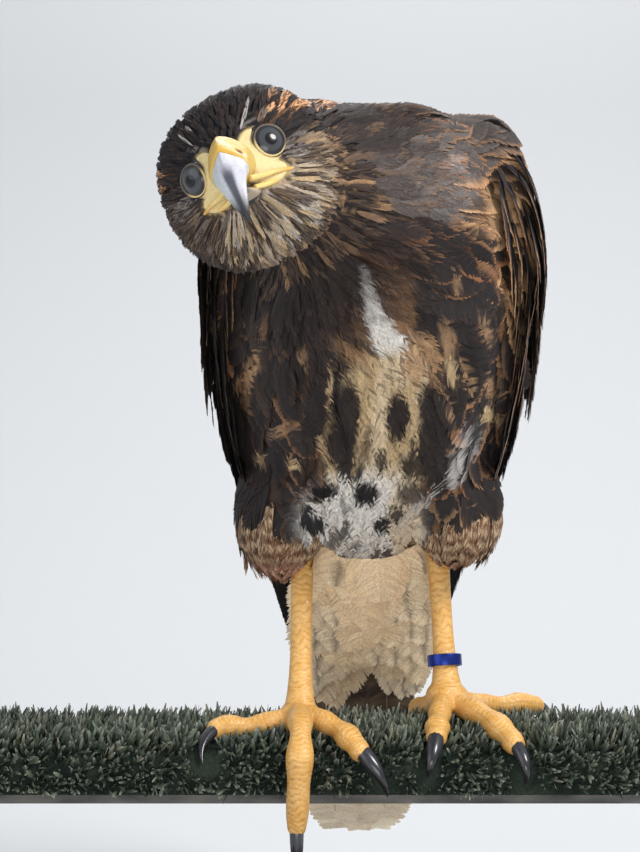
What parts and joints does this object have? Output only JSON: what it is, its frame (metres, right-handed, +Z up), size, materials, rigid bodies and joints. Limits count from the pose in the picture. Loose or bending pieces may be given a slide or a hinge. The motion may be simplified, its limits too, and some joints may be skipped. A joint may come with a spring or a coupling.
{
  "type": "harris hawk",
  "caption": "Young harris hawk leaning forward and looking down from a turf-covered perch bar, with a ring on its left leg, on a plain display stand.",
  "frame": {"origin": "middle of the underside of the stand's base, on the floor", "axes": "+Z up; the perch bar runs along X; the hawk faces -Y and its left side is towards +X"},
  "size_m": [0.3, 0.3314, 0.355],
  "materials": {
    "plumage": "overlapping matt feathers",
    "trousers": "soft barred feathers",
    "tail": "overlapping matt feathers",
    "yellow_skin": "scaly, satin",
    "bill_horn": "smooth horn, satin gloss",
    "claw_horn": "smooth black horn, gloss",
    "eye": "wet gloss",
    "ring": "blue anodised",
    "turf": "weathered mat of short blades",
    "stand_metal": "satin grey paint",
    "stand_board": "dark stained board, satin"
  },
  "bodies": {
    "root": {"torso": "plumage", "neck": "plumage", "head": "plumage", "wing_left": "plumage", "wing_right": "plumage", "thigh_left": "trousers", "thigh_right": "trousers", "tail": "tail", "cere": "yellow_skin", "tarsus_left": "yellow_skin", "tarsus_right": "yellow_skin", "foot_left": "yellow_skin", "foot_right": "yellow_skin", "beak_upper": "bill_horn", "beak_lower": "bill_horn", "claw_left_1": "claw_horn", "claw_left_2": "claw_horn", "claw_left_3": "claw_horn", "claw_left_4": "claw_horn", "claw_right_1": "claw_horn", "claw_right_2": "claw_horn", "claw_right_3": "claw_horn", "claw_right_4": "claw_horn", "eye_left": "eye", "eye_right": "eye", "leg_ring": "ring", "perch_turf": "turf", "perch_bar": "stand_metal", "stand_rod_left": "stand_metal", "stand_rod_right": "stand_metal", "stand_base": "stand_board"}
  },
  "joints": []
}
